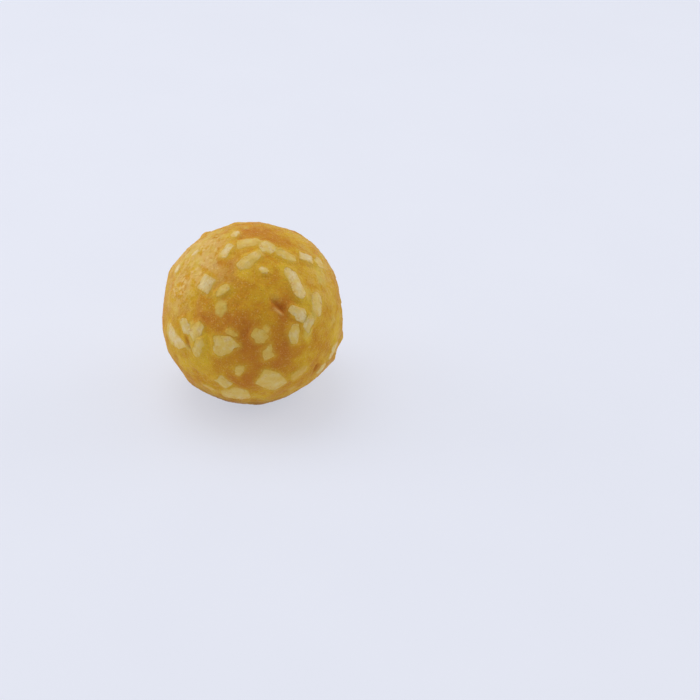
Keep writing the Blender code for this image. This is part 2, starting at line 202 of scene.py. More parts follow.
# Relief of the mass. Noise is given by its size and its seed.
CRACK_RAG = 0.3 * MM  # how far the cracks' edges wander
CRACK_RAG_SIZE = 1.3 * MM
CRACK_RAG_SEEDS = (61.0, 67.0, 71.0)  # one for each axis
CRACK_RUBBLE = 0.30  # height in mm
CRACK_RUBBLE_NOISE = (0.8 * MM, 61.0)
SOFT_LUMPS = ((0.08, 2.0 * MM, 5.0), (0.05, 1.0 * MM, 7.0))  # height in mm, size, seed
GRAIN_NOISE = (1.25 * MM, 3.0)
GRAIN_HEIGHT = (0.05, 0.11)  # in mm: on the smooth mass, and how much more where it is crumbly
SMALL_GRAIN_NOISE = (0.7 * MM, 9.0)
SMALL_GRAIN_HEIGHT = (0.055, 0.05)
GRAIN_SKEW = 0.7  # moves the grains' pattern aside
GRAIN_REACH = 0.75  # of a grain's size, from its middle to the gap between grains
DIMPLE_NOISE = (2.1 * MM, 41.0)
DIMPLE_FROM = (0.22, 0.5)  # noise at which a dimple starts and is full
DIMPLE_DEPTH = 0.10  # in mm
DIMPLE_CRUMBS = 0.5  # share by which dimples are shallower in crumbly places
PATCH_HEIGHT = 0.06 * MM  # rise of the skin over a level nut
SEAT_SOFTNESS = 0.10 * MM  # height of the soft edge round the seat

# Colour of the mass
TINT_WIDE = (0.85, 6.5 * MM, 11.0)  # strength, size and seed of its slow change
TINT_FINE = (0.6, 3.0 * MM, 23.0)
FACE_CALM = (0.6, 0.3)  # share of the two that the face is without, as its tints are placed
FACE_BLEND = 0.15  # how gradually the face passes into the far side
DIMPLE_SHADE = 0.2  # how much painted shade a dimple gets, against a crack
HOLLOW_SHADE = 0.35  # and the thumb dent
# Painted contact shade on the underside: height on the ball, as a share of its radius, where the darker
# colour is full and where it starts
UNDERSIDE_SHADE = (-0.95, -0.5)
UNDERSIDE_SHADE_RAGGED = 0.05
UNDERSIDE_SHADE_NOISE = (3.0 * MM, 31.0)

# How pale each nut on the face is: 0 soaked golden, 1 nearly white
NUT_TONES = (
    0.5, 0.55, 0.4, 0.4, 0.35, 0.6, 0.5, 0.8, 0.7, 0.6, 0.9, 0.65, 0.65, 0.9, 0.85, 1.0, 0.45, 0.1, 0.85,
    0.8, 0.7, 0.5, 0.4, 0.7, 0.5, 1.0, 0.45, 0.85, 1.0, 1.0, 0.05, 0.6, 0.65, 0.1,
)
TONE_SEED = 5  # for the tones of the others
FAR_TONES = (0.1, 1.0)

# Nuts that lie level with the mass or just under its skin: across, up, length, width, turn, strength
SUNKEN_NUTS = (
    (-7.8, 1.3, 4.2, 2.8, 80, 0.95), (13.6, -5.0, 3.0, 2.2, 70, 0.6), (16.9, 9.2, 5.8, 3.8, 105, 0.6),
    (-6.7, 19.1, 2.4, 1.7, 20, 0.5), (-9.9, 15.6, 2.8, 2.1, 60, 0.3), (-13.5, 12.5, 3.2, 2.5, 70, 0.45),
    (-18.7, 0.8, 2.6, 1.8, 100, 0.5), (20.0, -1.7, 2.8, 2.4, 80, 0.4), (-15.5, -8.2, 2.0, 1.5, 90, 0.7),
    (-1.7, 21.1, 1.6, 1.4, 0, 0.6), (9.7, -18.6, 2.2, 1.9, 10, 0.4), (3.3, -4.0, 2.0, 1.6, 60, 0.8),
    (13.5, 5.0, 4.2, 2.2, 110, 0.4), (14.8, -0.9, 3.0, 2.2, 60, 0.7), (-14.9, -2.8, 2.2, 1.6, 70, 0.5),
    (-14.9, -6.4, 2.4, 1.4, 80, 0.7), (1.9, 14.7, 3.0, 2.2, 60, 0.7), (1.6, 17.2, 3.0, 1.8, 0, 0.65),
    (13.0, 16.1, 4.0, 1.3, -35, 0.5), (-11.3, 14.8, 2.2, 1.8, 20, 0.45), (-13.9, 9.6, 2.4, 1.6, 50, 0.4),
    (-16.2, 11.0, 3.4, 2.4, 60, 0.45), (-15.4, 5.2, 2.6, 1.8, 40, 0.35), (-14.8, 15.2, 11.0, 2.6, 45, 0.5),
    (-18.9, 7.3, 1.8, 1.5, 70, 0.6), (-20.1, -5.4, 5.5, 4.4, 104, 0.75), (-7.5, 8.2, 1.5, 1.1, 60, 0.35),
    (-9.3, 19.6, 6.0, 4.0, 25, 0.4), (6.0, 15.5, 3.0, 1.8, -20, 0.75), (-9.8, 12.6, 2.0, 1.6, 30, 0.35),
    (-14.3, 16.6, 2.2, 1.8, 40, 0.45), (-18.4, 8.9, 2.0, 1.6, 60, 0.35),
)
SUNKEN_OUTLINES = 300  # seeds of their outlines start here
# And those on the far side, in mm
FAR_SUNKEN_COUNT = 16
FAR_SUNKEN_SEED = 77
FAR_SUNKEN_OUTLINES = 400
FAR_SUNKEN_LOWEST = -0.75  # height, as a share of the ball's radius
FAR_SUNKEN_HALF_LENGTHS = (1.0, 2.6)
FAR_SUNKEN_WIDTH = 0.6  # as a share of the length
FAR_SUNKEN_STRENGTHS = (0.35, 0.7)
PATCH_NEAR = 1 * MM  # how far round a level nut the skin is looked at
PATCH_EDGE = (-0.45 * MM, 0.35 * MM)  # how far inside its outline it starts to show, and shows fully

# Uneven colour of the mass on the face: across, up, half width in mm, tint from -1, brown, to 1, yellow
FACE_TINTS = (
    (13.3, 2.4, 2.2, 1.0), (13.8, -5.6, 2.0, 0.6), (-13.0, -12.2, 3.2, 0.9), (-17.0, -12.4, 3.0, 0.9),
    (-11.2, -6.0, 2.0, 0.8), (20.8, -5.0, 2.8, 0.9), (11.2, 19.0, 3.2, 0.7), (15.8, 10.6, 2.6, 0.7),
    (-1.8, 10.0, 2.2, 0.6), (7.2, 11.3, 2.2, 0.5), (2.0, -20.6, 3.2, 0.25), (-6.4, 18.3, 2.2, 0.3),
    (-19.8, 3.6, 3.0, 0.3), (-1.0, -4.9, 2.8, -1.0), (6.7, 1.6, 1.9, -0.6), (8.9, 2.4, 1.6, -0.6),
    (-3.0, -1.0, 4.6, -0.55), (5.8, -11.6, 4.6, -0.7), (8.1, -2.4, 2.6, -0.5), (-7.4, -3.5, 2.6, -0.8),
    (-0.6, -14.7, 2.6, -0.7), (-6.8, -12.0, 2.4, -0.4), (4.6, 12.0, 2.2, -0.1), (2.1, 5.4, 2.6, 0.35),
    (5.2, 8.2, 1.8, -0.5), (-15.2, 5.6, 2.4, 0.5), (19.2, 4.4, 3.4, 0.5), (13.8, 9.0, 2.4, 0.4),
    (-1.0, -17.6, 2.8, -0.9), (14.2, -9.4, 2.4, 0.4), (19.4, -2.2, 2.4, 0.5), (-14.2, 11.6, 3.4, 0.5),
    (17.6, 12.4, 4.0, 0.4), (7.2, 5.4, 1.8, 0.4), (-1.5, -9.6, 3.2, -0.5), (-12.3, -1.2, 2.2, -0.7),
    (-4.9, 11.8, 2.2, -0.7), (9.0, 4.4, 2.0, -0.4), (0.8, 20.6, 3.6, -0.6), (-9.2, 13.0, 2.0, -0.5),
    (16.2, -13.6, 2.0, -0.8), (8.4, -7.6, 2.6, -0.5), (7.6, 18.6, 2.0, -0.6), (7.7, -0.9, 0.9, -0.9),
    (21.2, -1.6, 2.4, 0.6), (-11.4, -8.2, 1.6, 0.8), (-5.2, -16.0, 2.2, -0.5), (-8.2, 17.4, 1.8, -0.5),
    (-4.8, 5.8, 2.4, 0.4), (2.0, 2.2, 2.4, 0.35), (-6.8, 8.4, 2.2, -0.5), (4.6, 17.6, 2.0, -0.4),
)

# Where loose grains of the mass show, their pale specks partly a painted highlight: across and up on the
# face, half width in mm, strength
FACE_CRUMBS = (
    (-13.0, 12.0, 8.0, 1.0), (-10.0, 17.5, 4.5, 0.4), (-19.0, 4.0, 5.0, 0.6), (17.0, 8.0, 6.0, 0.5),
)
# The same on the far side, with longitude and latitude in degrees
FAR_CRUMBS = ((120, 30, 9.0, 0.9), (205, -8, 10.0, 0.8), (250, 40, 8.0, 0.7), (75, -20, 7.0, 0.6))


def face_direction(across, up):
    """The direction from the ball's centre to what the eye sees at (across, up) mm from its middle."""
    eye = TOWARDS * EYE_DISTANCE
    ray = (ACROSS * across * MM + UP * up * MM - eye).normalized()
    nearest = -eye.dot(ray)
    chord = BALL_RADIUS**2 - (eye + ray * nearest).length_squared
    return (eye + ray * (nearest - math.sqrt(max(chord, 0)))).normalized()


def seen_direction(degrees):
    """The direction that the eye sees at an angle from the right, counter-clockwise."""
    angle = math.radians(degrees)
    return ACROSS * math.cos(angle) + UP * math.sin(angle)


def globe_direction(longitude, latitude):
    """Longitude 0 faces -Y and grows towards +X. Both are in radians."""
    level = math.cos(latitude)
    return Vector((math.sin(longitude) * level, -math.cos(longitude) * level, math.sin(latitude)))


def globe_turn(outward, angle):
    """The direction along the surface at an angle from east, counter-clockwise, in radians."""
    east = Vector((0, 0, 1)).cross(outward).normalized()
    return east * math.cos(angle) + outward.cross(east) * math.sin(angle)


def crease_ends():
    """Every crease as two directions from the centre, its half width and its depth."""
    for start, end, half_width, depth in FACE_CREASES:
        yield face_direction(*start), face_direction(*end), half_width * MM, depth * MM
    for longitude, latitude, length, turn, half_width, depth in FAR_CREASES:
        middle = globe_direction(math.radians(longitude), math.radians(latitude))
        reach = globe_turn(middle, math.radians(turn)) * (length * MM / 2 / BALL_RADIUS)
        yield (middle - reach).normalized(), (middle + reach).normalized(), half_width * MM, depth * MM


CREASES = tuple(crease_ends())

# ---- the form of the mass


def unit_rows(points):
    return points / np.linalg.norm(points, axis=1, keepdims=True)


def noise_at(directions, size, seed=0.0):
    """Smooth noise over the ball, about -1 to 1, with lumps of a size in metres."""
    scale = BALL_RADIUS / size
    return np.array([noise.noise(Vector(d) * scale + Vector((seed, 0, 0))) for d in directions])


def hump(directions, middle, half_width):
    """A round bump of height 1 that fades over half_width, an angle in radians."""
    angle = np.arccos(np.clip(directions @ np.array(middle), -1, 1))
    return np.exp(-((angle / half_width) ** 2))


def face_hump(directions, across, up, half_width):
    """The same, at a place on the face, with all three in mm."""
    return hump(directions, face_direction(across, up), half_width * MM / BALL_RADIUS)


def smooth_step(low, high, values):
    share = np.clip((values - low) / (high - low), 0, 1)
    return share * share * (3 - 2 * share)


def crease_offset(directions, start, end):
    """How far directions lie from a crack's line on the ball, and their share of the way along it."""
    first, line = np.array(start), np.array(end - start)
    share = (directions - first) @ line / (line @ line)
    nearest = first + np.clip(share, 0, 1)[..., None] * line
    return np.linalg.norm(directions - nearest, axis=-1) * BALL_RADIUS, share


def crease_depth(directions):
    """Depth of the cracks, and the same as a share of each one's depth."""
    depth = np.zeros(len(directions))
    share_of_deepest = np.zeros(len(directions))
    for start, end, half_width, deepest in CREASES:
        offset, share = crease_offset(directions, start, end)
        along = 1 - CREASE_ENDS * np.abs(2 * np.clip(share, 0, 1) - 1) ** 2
        cut = along * np.exp(-((offset / half_width) ** CREASE_ROUND))
        depth = np.maximum(depth, deepest * cut)
        share_of_deepest = np.maximum(share_of_deepest, cut)
    return depth, share_of_deepest


def ragged_cracks(directions):
    """What cracks with broken edges add to the solid's clean ones, and how deep they are, 0 to 1."""
    smooth, _ = crease_depth(directions)
    stray = [noise_at(directions, CRACK_RAG_SIZE, seed) for seed in CRACK_RAG_SEEDS]
    strayed = unit_rows(directions + np.stack(stray, axis=1) * CRACK_RAG / BALL_RADIUS)
    broken, deep = crease_depth(strayed)
    return smooth - broken, deep


def lip_field(directions):
    """The fold of mass along the lower side of the main cleft, and the knob past its end, 0 to 1. The
    material also uses it for a painted highlight on them.
    """
    start, end, _, _ = CREASES[0]
    _, share = crease_offset(directions, start, end)
    side = np.cross(np.array((start + end) / 2), np.array(end - start))
    side /= np.linalg.norm(side)
    offset = (directions - np.array(start)) @ side * BALL_RADIUS + LIP_OFFSET
    length = smooth_step(*LIP_START, share) * (1 - smooth_step(*LIP_END, share))
    place, half_width, share_of_lip = LIP_KNOB
    knob = share_of_lip * face_hump(directions, *place, half_width)
    return np.maximum(length * np.exp(-((offset / LIP_HALF_WIDTH) ** 2)), knob)


def ball_radius(directions):
    """Distance from the centre to the surface of the mass, as the solid has it."""
    radius = np.full(len(directions), BALL_RADIUS)
    for clock, height, half_width in RIM:
        radius += height * MM * hump(directions, seen_direction(clock), math.radians(half_width))
    for size, height in LUMPS:
        radius += height * noise_at(directions, size)
    place, half_width, depth = HOLLOW
    radius -= depth * MM * face_hump(directions, *place, half_width)
    return radius - crease_depth(directions)[0]


def near_crease(direction):
    place = np.array(direction)
    return any(crease_offset(place, a, b)[0] < CREASE_CLEAR * width for a, b, width, _ in CREASES)


# ---- where the nuts lie


def face_nut(across, up, length, width, turn, rise, outline):
    """A nut on the face, with its turn as the eye sees it. Sizes are in mm here."""
    outward = face_direction(across, up)
    seen_along = seen_direction(turn)
    slide = seen_along.dot(outward) / max(TOWARDS.dot(outward), LEAST_FACING)
    along = (seen_along - TOWARDS * slide).normalized()
    return PlacedNut(outward, along, length * MM / 2, width * MM / 2, rise * MM, outline)


def scattered_nuts(placed):
    """Nuts over the rest of the ball, largest first, about as many to the area as on the face."""
    draw = random.Random(SCATTER_SEED)
    spread = SCATTER_LONGEST - SCATTER_SHORTEST
    shares = sorted((draw.random() ** SCATTER_BIAS for _ in range(SCATTER_COUNT)), reverse=True)
    nuts = []
    for share in shares:
        half_length = (SCATTER_SHORTEST + spread * share) / 2
        outward = free_spot(draw, half_length, placed + nuts)
        outline = draw.choice((SLIVER, SLIVER, WEDGE, CHUNK, CHUNK, BLOCK, KITE))
        half_width = half_length * draw.uniform(*(SLIVER_WIDTHS if outline is SLIVER else CHUNK_WIDTHS))
        turn = draw.uniform(0, 2 * math.pi)
        rise = draw.uniform(*SCATTER_RISE)
        if outward is not None:
            along = globe_turn(outward, turn)
            nuts.append(PlacedNut(outward, along, half_length, half_width, rise, outline))
    return nuts


def free_spot(draw, half_length, others):
    """A direction outside the face and the seat with room for a nut, or None after many tries."""
    for _ in range(SCATTER_TRIES):
        outward = globe_direction(draw.uniform(0, 2 * math.pi), math.asin(draw.uniform(-1, 1)))
        if outward.z < math.sin(LOWEST_NUT) or outward.dot(TOWARDS) > FACE_EDGE or near_crease(outward):
            continue
        if not any(too_close(outward, half_length, other) for other in others):
            return outward
    return None


def too_close(outward, half_length, other):
    room = half_length + NEIGHBOUR_SHARE * other.half_length + SCATTER_GAP
    return (outward - other.outward).length * BALL_RADIUS < room


def nut_outline(nut, index):
    """The corners of a nut's cut face in metres, each moved a little."""
    draw = random.Random(OUTLINE_SEED + index)
    corners = []
    for x, y in nut.outline:
        x += draw.uniform(-CORNER_SHIFT, CORNER_SHIFT)
        y += draw.uniform(-CORNER_SHIFT, CORNER_SHIFT)
        corners.append((x * nut.half_length, y * nut.half_width))
    return corners


def nut_tilt(index):
    """How a nut leans, as slopes along and across it."""
    draw = random.Random(LEAN_SEED + index)
    along, across = NUT_LEAN
    return draw.uniform(-along, along), draw.uniform(-across, across)


def level_nuts():
    """Nuts that lie level with the mass: each one, the seed of its outline, and how much it shows."""
    for index, (*place_and_size, strength) in enumerate(SUNKEN_NUTS):
        yield face_nut(*place_and_size, 0, CHUNK), SUNKEN_OUTLINES + index, strength
    draw = random.Random(FAR_SUNKEN_SEED)
    count = 0
    while count < FAR_SUNKEN_COUNT:
        longitude = draw.uniform(0, 2 * math.pi)
        outward = globe_direction(longitude, math.asin(draw.uniform(FAR_SUNKEN_LOWEST, 1)))
        half_length = draw.uniform(*FAR_SUNKEN_HALF_LENGTHS) * MM
        turn = draw.uniform(0, math.pi)
        strength = draw.uniform(*FAR_SUNKEN_STRENGTHS)
        if outward.dot(TOWARDS) > FACE_EDGE:
            continue
        along = globe_turn(outward, turn)
        nut = PlacedNut(outward, along, half_length, half_length * FAR_SUNKEN_WIDTH, 0, CHUNK)
        yield nut, FAR_SUNKEN_OUTLINES + count, strength
        count += 1


# ---- the form of a nut

SECTOR_ANGLES = np.arange(NUT_SECTORS) * (2 * math.pi / NUT_SECTORS)


def outline_reach(corners, angles):
    """Distance from the middle to the edge of an outline without notches, at each angle."""
    reach = np.full(len(angles), np.inf)
    ray = np.stack((np.cos(angles), np.sin(angles)), axis=1)
    for (ax, ay), (bx, by) in zip(corners, corners[1:] + corners[:1]):
        normal = np.array((by - ay, ax - bx))
        facing = ray @ normal
        with np.errstate(divide="ignore"):
            distance = (ax * normal[0] + ay * normal[1]) / facing
        reach = np.where(facing > 1e-9, np.minimum(reach, distance), reach)
    return reach


def around(seed, bumps):
    """Noise for each sector round a nut."""
    circle = zip(np.cos(SECTOR_ANGLES) * bumps, np.sin(SECTOR_ANGLES) * bumps)
    return np.array([noise.noise(Vector((x, y, seed))) for x, y in circle])


def worn_outline(nut, index):
    """A nut's outline with rounded corners and chipped sides, as a reach for each sector."""
    reach = outline_reach(nut_outline(nut, index), SECTOR_ANGLES)
    before, here, after = CORNER_WEAR
    reach = before * np.roll(reach, 1) + here * reach + after * np.roll(reach, -1)
    chips = (share * around(index * step + start, bumps) for step, start, bumps, share in CHIPS)
    return reach * sum(chips, 1.0)


def nut_frame(nut):
    return np.array(nut.outward), np.array(nut.along), np.array(nut.outward.cross(nut.along))


def nut_shape(nut, index):
    """A nut's outline, the height of its top at the middle, and its slopes."""
    top = ball_radius(np.array([nut.outward]))[0] + nut.rise
    return worn_outline(nut, index), top, nut_tilt(index)


def cut_noise(x, y, index, marks):
    """Noise over a nut's top, stretched along it."""
    length, width, seed_step = marks
    seed = index * seed_step
    return np.array([noise.noise(Vector((a / MM / length, b / MM / width, seed))) for a, b in zip(x, y)])


def top_relief(x, y, nut, index):
    """Height of a nut's cut face over its plane: a facet on one side, a slight dome, and knife marks."""
    draw = random.Random(index)
    u, v = x / nut.half_length, y / nut.half_width
    side = draw.choice((-1, 1))
    ridge = draw.uniform(*FACET_RIDGE)
    steep = draw.uniform(*FACET_SLOPE)
    facet = -steep * nut.half_width * np.maximum(side * v - ridge + FACET_SKEW * u, 0)
    dome = TOP_DOME * (1 - u * u - v * v)
    cuts = KNIFE_DEPTH * np.abs(cut_noise(x, y, index, KNIFE_MARKS))
    return facet + dome - cuts + FINE_HEIGHT * cut_noise(x, y, index, FINE_MARKS)


def nut_height(x, y, nut, index, top, lean):
    """Height of a nut's top, measured outward from the ball's centre, at places on the nut."""
    bend = NUT_BEND * (x * x + y * y) / (2 * BALL_RADIUS)
    return top - bend + lean[0] * x + lean[1] * y + top_relief(x, y, nut, index)


def nut_rings(nut, reach):
    """Rings from the middle of a nut's top to its buried end: reach, height from the top, and "edge"."""
    edge = min(NUT_EDGE, NUT_EDGE_MOST * nut.half_width)
    rings = [(share * (reach - edge), 0.0, share * EDGE_START) for share in NUT_TOP_RINGS]
    for step in range(NUT_EDGE_STEPS + 1):
        bend = step / NUT_EDGE_STEPS * math.pi / 2
        inset = edge * (1 - math.sin(bend))
        worn = EDGE_START + (1 - EDGE_START) * step / NUT_EDGE_STEPS
        rings.append((reach - inset, -edge * (1 - math.cos(bend)), worn))
    for share in NUT_SIDE_RINGS:
        rings.append((reach * (1 - NUT_TAPER * share), -edge - (NUT_THICKNESS - edge) * share, 1.0))
    return rings


def nut_faces(start, ring_count):
    """Triangles round the middle point, squares between the rings, and one face over the last ring."""
    first = start + 1
    last = first + (ring_count - 1) * NUT_SECTORS
    yield from ((start, first + k, first + (k + 1) % NUT_SECTORS) for k in range(NUT_SECTORS))
    for ring in range(first, last, NUT_SECTORS):
        for k in range(NUT_SECTORS):
            here, after = ring + k, ring + (k + 1) % NUT_SECTORS
            yield here, here + NUT_SECTORS, after + NUT_SECTORS, after
    yield tuple(last + k for k in reversed(range(NUT_SECTORS)))


def nut_points(nut, index):
    """The points of one chopped nut, and for each one its "edge" value and its place on the nut."""
    reach, top, lean = nut_shape(nut, index)
    rings = nut_rings(nut, reach)
    cos, sin = np.cos(SECTOR_ANGLES), np.sin(SECTOR_ANGLES)
    x = np.concatenate([[0.0]] + [ring * cos for ring, _, _ in rings])
    y = np.concatenate([[0.0]] + [ring * sin for ring, _, _ in rings])
    drop = np.concatenate([[0.0]] + [np.full(NUT_SECTORS, below) for _, below, _ in rings])
    edge = np.concatenate([[0.0]] + [np.full(NUT_SECTORS, worn) for _, _, worn in rings])
    lift = nut_height(x, y, nut, index, top, lean) + drop
    outward, along, across = nut_frame(nut)
    points = np.array(CENTRE) + lift[:, None] * outward + x[:, None] * along + y[:, None] * across
    place = np.stack((x, y, np.full(len(x), float(index))), axis=1)
    return points, edge, place


# ---- meshes


def cube_sphere(count):
    """Directions and squares of a cube blown up to a sphere, evenly spaced."""
    steps = np.tan(np.linspace(-math.pi / 4, math.pi / 4, count + 1))
    u, v = (grid.ravel() for grid in np.meshgrid(steps, steps, indexing="ij"))
    one = np.ones_like(u)
    corners = np.array([(i * (count + 1) + j) for i in range(count) for j in range(count)])
    square = np.stack((corners, corners + count + 1, corners + count + 2, corners + 1), axis=1)
    sides = ((one, u, v), (-one, v, u), (v, one, u), (u, -one, v), (u, v, one), (v, u, -one))
    points = unit_rows(np.concatenate([np.stack(side, axis=1) for side in sides]))
    squares = [square + k * len(u) for k in range(len(sides))]
    _, first, again = np.unique(np.round(points, 7), axis=0, return_index=True, return_inverse=True)
    return points[first], again.reshape(-1)[np.concatenate(squares)]


def make_object(name, points, faces, attributes, material):
    """A smooth mesh object. Its attributes have a number or a vector for each point."""
    mesh = bpy.data.meshes.new(name)
    mesh.from_pydata([tuple(p) for p in points], [], [tuple(f) for f in faces])
    for label, values in attributes.items():
        kind, field = ("FLOAT", "value") if values.ndim == 1 else ("FLOAT_VECTOR", "vector")
        numbers = values.astype(np.float32).ravel()
        mesh.attributes.new(label, kind, "POINT").data.foreach_set(field, numbers)
    mesh.shade_smooth()
    mesh.materials.append(material)
    made = bpy.data.objects.new(name, mesh)
    bpy.context.scene.collection.objects.link(made)
    return made


def settle(points):
    """Rests the mass on the table: what would lie below it is pressed flat, with a soft edge."""
    soft = SEAT_SOFTNESS
    z = points[:, 2]
    points[:, 2] = np.where(z > soft, z, np.where(z < -soft, 0, (z + soft) ** 2 / (4 * soft)))
    return points


def place_in_nut(directions, nut, reach, margin):
    """Which points lie near a nut, where on it, how far outside its outline, and at what angle."""
    outward, along, across = nut_frame(nut)
    limit = math.cos((NUT_CORNER * nut.half_length + margin) / BALL_RADIUS)
    near = np.nonzero(directions @ outward > limit)[0]
    x = directions[near] @ along * BALL_RADIUS
    y = directions[near] @ across * BALL_RADIUS
    angle = np.arctan2(y, x) % (2 * math.pi)
    ring = np.append(SECTOR_ANGLES, 2 * math.pi)
    closed = np.append(reach, reach[0])
    out = np.interp(angle, ring, closed)
    steep = np.interp(angle, ring, np.gradient(closed, ring)) / out
    return near, x, y, (np.hypot(x, y) - out) / np.sqrt(1 + steep**2), angle


def bed_nuts(directions, radius, nuts):
    """Fits the mass to the nuts: it climbs their sides, laps over some edges, and dips under them.

    Returns each point's distance from the centre, its share under a nut, and its gap to the nearest.
    """
    raised = radius.copy()
    below = np.zeros(len(directions))
    under = np.zeros(len(directions))
    gap = np.full(len(directions), BALL_RADIUS)
    seed_step, seed_start = LAP_SEED
    for index, nut in enumerate(nuts):
        reach, top, lean = nut_shape(nut, index)
        near, x, y, outside, angle = place_in_nut(directions, nut, reach, NUT_NEAR)
        ring = around(index * seed_step + seed_start, LAP_BUMPS)
        uneven = np.interp(angle, SECTOR_ANGLES, ring, period=2 * math.pi)
        nut_top = nut_height(x, y, nut, index, top, lean) / (directions[near] @ np.array(nut.outward))
        here = radius[near]
        lap = smooth_step(*LAP_FROM, uneven)
        fade = np.exp(-((np.maximum(outside, 0) / NUT_COLLAR) ** 2))
        climb = np.maximum(nut_top - here, 0) * np.clip(CLIMB_USUAL + CLIMB_CHANGE * uneven, *CLIMB_RANGE)
        raised[near] = np.maximum(raised[near], here + (climb + LAP_THICKNESS * lap) * fade)
        covered = lap * min(LAP_WIDTH, LAP_MOST * nut.half_width)
        inside = smooth_step(0.0, DIVE_WIDTH, -outside - covered)
        inside *= smooth_step(-FLUSH, FLUSH, nut_top - here)
        below[near] = np.maximum(below[near], (nut_top - MASS_UNDER_NUT) * (inside > 0))
        under[near] = np.maximum(under[near], inside)
        gap[near] = np.minimum(gap[near], np.maximum(outside, 0))
    return raised * (1 - under) + below * under, under, gap


# ---- the skin of the mass


def sunken_patches(directions):
    """Where nuts show through the skin of the mass, 0 to 1."""
    pale = np.zeros(len(directions))
    for nut, outline_seed, strength in level_nuts():
        reach = worn_outline(nut, outline_seed)
        near, _, _, outside, _ = place_in_nut(directions, nut, reach, PATCH_NEAR)
        pale[near] = np.maximum(pale[near], strength * smooth_step(*PATCH_EDGE, -outside))
    return pale


def crumb_field(directions):
    """Where loose grains show, 0 to 1."""
    field = np.zeros(len(directions))
    for across, up, half_width, strength in FACE_CRUMBS:
        field += strength * face_hump(directions, across, up, half_width)
    for longitude, latitude, half_width, strength in FAR_CRUMBS:
        middle = globe_direction(math.radians(longitude), math.radians(latitude))
        field += strength * hump(directions, middle, half_width * MM / BALL_RADIUS)
    return np.clip(field, 0, 1)


def grains(directions, size, seed):
    """Rounded grains of a size in metres: 1 on top of a grain and 0 between grains."""
    scale = BALL_RADIUS / size
    offset = Vector((seed, seed * GRAIN_SKEW, 0))
    nearest = [noise.voronoi(Vector(d) * scale + offset)[0][0] for d in directions]
    return 1 - np.clip(np.array(nearest) / GRAIN_REACH, 0, 1) ** 2


def tint_field(directions):
    """The slow change of the mass's colour, from -1, brown, to 1, yellow."""
    on_face = smooth_step(-FACE_BLEND, FACE_BLEND, directions @ np.array(TOWARDS))
    tint = np.zeros(len(directions))
    for (strength, size, seed), calm in zip((TINT_WIDE, TINT_FINE), FACE_CALM):
        tint += strength * noise_at(directions, size, seed) * (1 - calm * on_face)
    for across, up, half_width, strength in FACE_TINTS:
        tint += strength * face_hump(directions, across, up, half_width)
    return np.clip(tint, -1, 1)


def underside_shade_field(directions):
    """Painted contact shade on the underside, darker towards the bottom, 0 to 1, with a ragged border."""
    height = directions[:, 2] + UNDERSIDE_SHADE_RAGGED * noise_at(directions, *UNDERSIDE_SHADE_NOISE)
    return 1 - smooth_step(*UNDERSIDE_SHADE, height)


def skin_relief(directions, deep, crumbs, grain, small_grain, dimples):
    """Soft lumps, grains, dimples, and rubble in the cracks, in mm."""
    relief = sum(height * noise_at(directions, size, seed) for height, size, seed in SOFT_LUMPS)
    for height, shape in ((GRAIN_HEIGHT, grain), (SMALL_GRAIN_HEIGHT, small_grain)):
        relief += (height[0] + height[1] * crumbs) * (shape - 0.5)
    relief += CRACK_RUBBLE * deep * noise_at(directions, *CRACK_RUBBLE_NOISE)
    return relief - DIMPLE_DEPTH * dimples * (1 - DIMPLE_CRUMBS * crumbs)


def make_mass(nuts, material):
    """The ball of mawa, bedded round the nuts, with what its material reads at each point."""
    directions, squares = cube_sphere(MASS_GRID)
    ragged, deep = ragged_cracks(directions)
    radius, under, gap = bed_nuts(directions, ball_radius(directions) + ragged, nuts)
    halo = np.exp(-((gap / HALO_REACH) ** 2))
    pale = sunken_patches(directions)
    crumbs = crumb_field(directions)
    grain = grains(directions, *GRAIN_NOISE)
    small_grain = grains(directions, *SMALL_GRAIN_NOISE)
    dimples = smooth_step(*DIMPLE_FROM, noise_at(directions, *DIMPLE_NOISE))
    relief = skin_relief(directions, deep, crumbs, grain, small_grain, dimples)
    lip = lip_field(directions)
    radius += (relief * MM + PATCH_HEIGHT * pale + LIP_HEIGHT * lip) * (1 - under)
    points = settle(np.array(CENTRE) + directions * radius[:, None])
    place, half_width, _ = HOLLOW
    hollow = face_hump(directions, *place, half_width)
    attributes = {
        "tint": tint_field(directions),
        # painted shade in the cracks, dimples and the thumb dent
        "deep": np.clip(deep + DIMPLE_SHADE * dimples * (1 - halo) + HOLLOW_SHADE * hollow, 0, 1),
        # painted contact shade, darker towards the bottom
        "underside": underside_shade_field(directions),
        "brim": np.exp(-((gap / BRIM_REACH) ** 2)),
        # lip also carries the painted highlight on the fold and knob
        "lip": lip, "halo": halo, "pale": pale, "crumbs": crumbs, "grain": grain,
    }
    return make_object("mawa_mass", points, squares, attributes, material)


def make_nuts(nuts, material):
    """All the chopped nuts as one mesh, with what their material reads at each point."""
    draw = random.Random(TONE_SEED)
    tones = NUT_TONES + tuple(draw.uniform(*FAR_TONES) for _ in nuts[len(NUT_TONES):])
    made = [nut_points(nut, index) for index, nut in enumerate(nuts)]
    points, edges, places = (np.concatenate(part) for part in zip(*made))
    count = len(points) // len(nuts)
    faces = []
    for start in range(0, len(points), count):
        faces += nut_faces(start, (count - 1) // NUT_SECTORS)
    attributes = {"edge": edges, "place": places, "tone": np.repeat(tones, count)}
    return make_object("nut_chips", points, faces, attributes, material)


# ---- materials


def srgb(red, green, blue):
    """A colour given as 0 to 255 on screen, as Blender's linear numbers."""
    return tuple(((c / 255 + 0.055) / 1.055) ** 2.4 for c in (red, green, blue)) + (1.0,)


